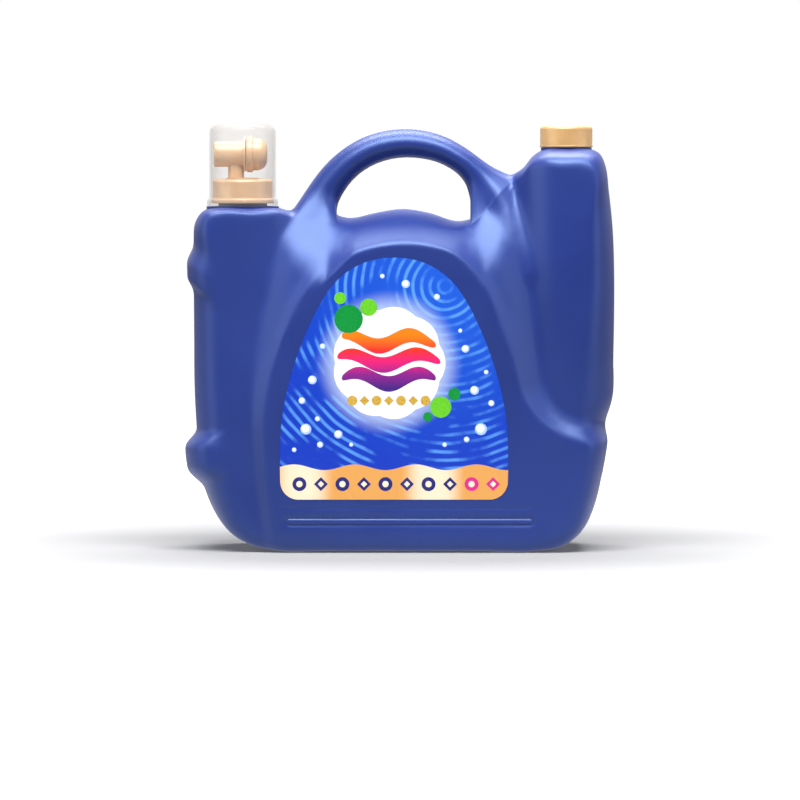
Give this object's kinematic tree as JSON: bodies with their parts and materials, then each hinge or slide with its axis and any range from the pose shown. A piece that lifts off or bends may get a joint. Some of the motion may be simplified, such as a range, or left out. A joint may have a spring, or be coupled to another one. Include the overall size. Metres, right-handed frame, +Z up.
{
  "type": "laundry detergent bottle",
  "caption": "Flat upright jug for liquid laundry detergent with a carrying handle, a capped filler neck, and a turn tap under a clear cover.",
  "frame": {"origin": "on the floor under the middle of the whole bottle", "axes": "+Z up, the front label faces -Y, the tap is on the -X side"},
  "size_m": [0.3344, 0.1174, 0.3307],
  "materials": {
    "body_plastic": "semi-gloss blown polyethylene, deep blue",
    "label_film": "glossy printed film",
    "back_label_film": "glossy film",
    "cap_plastic": "pearly gold moulded polypropylene",
    "tap_plastic": "pearly gold moulded polypropylene",
    "liner_foam": "soft foamed polyethylene",
    "seal_rubber": "soft rubber",
    "clear_plastic": "clear moulded polypropylene"
  },
  "bodies": {
    "jug": {"bottle": "body_plastic", "filler_neck": "body_plastic", "tap_neck": "body_plastic", "front_label": "label_film", "back_label": "back_label_film", "tap_collar": "cap_plastic", "tap_gasket": "seal_rubber", "tap_body": "tap_plastic"},
    "cap_liner": {"filler_cap_liner": "liner_foam"},
    "cap": {"filler_cap": "cap_plastic"},
    "key": {"tap_key": "tap_plastic", "key_seal_1": "seal_rubber", "key_seal_2": "seal_rubber"},
    "cover": {"tap_cover": "clear_plastic"}
  },
  "joints": [
    {"name": "filler_cap_lift", "type": "slide", "parent": "jug", "child": "cap_liner", "axis": [0, 0, 1], "range_m": [0, 0.03]},
    {"name": "filler_cap_turn", "type": "hinge", "parent": "cap_liner", "child": "cap", "pos_m": [0.129, 0, 0.32], "axis": [0, 0, 1], "range_deg": [0, 540]},
    {"name": "tap_key_turn", "type": "hinge", "parent": "jug", "child": "key", "pos_m": [-0.134, 0, 0.307], "axis": [1, 0, 0], "range_deg": [0, 90]},
    {"name": "tap_cover_lift", "type": "slide", "parent": "jug", "child": "cover", "axis": [0, 0, 1], "range_m": [0, 0.075]}
  ],
  "couplings": [
    {"joint": "filler_cap_lift", "follows": "filler_cap_turn", "m_per_rad": 0.003183}
  ]
}
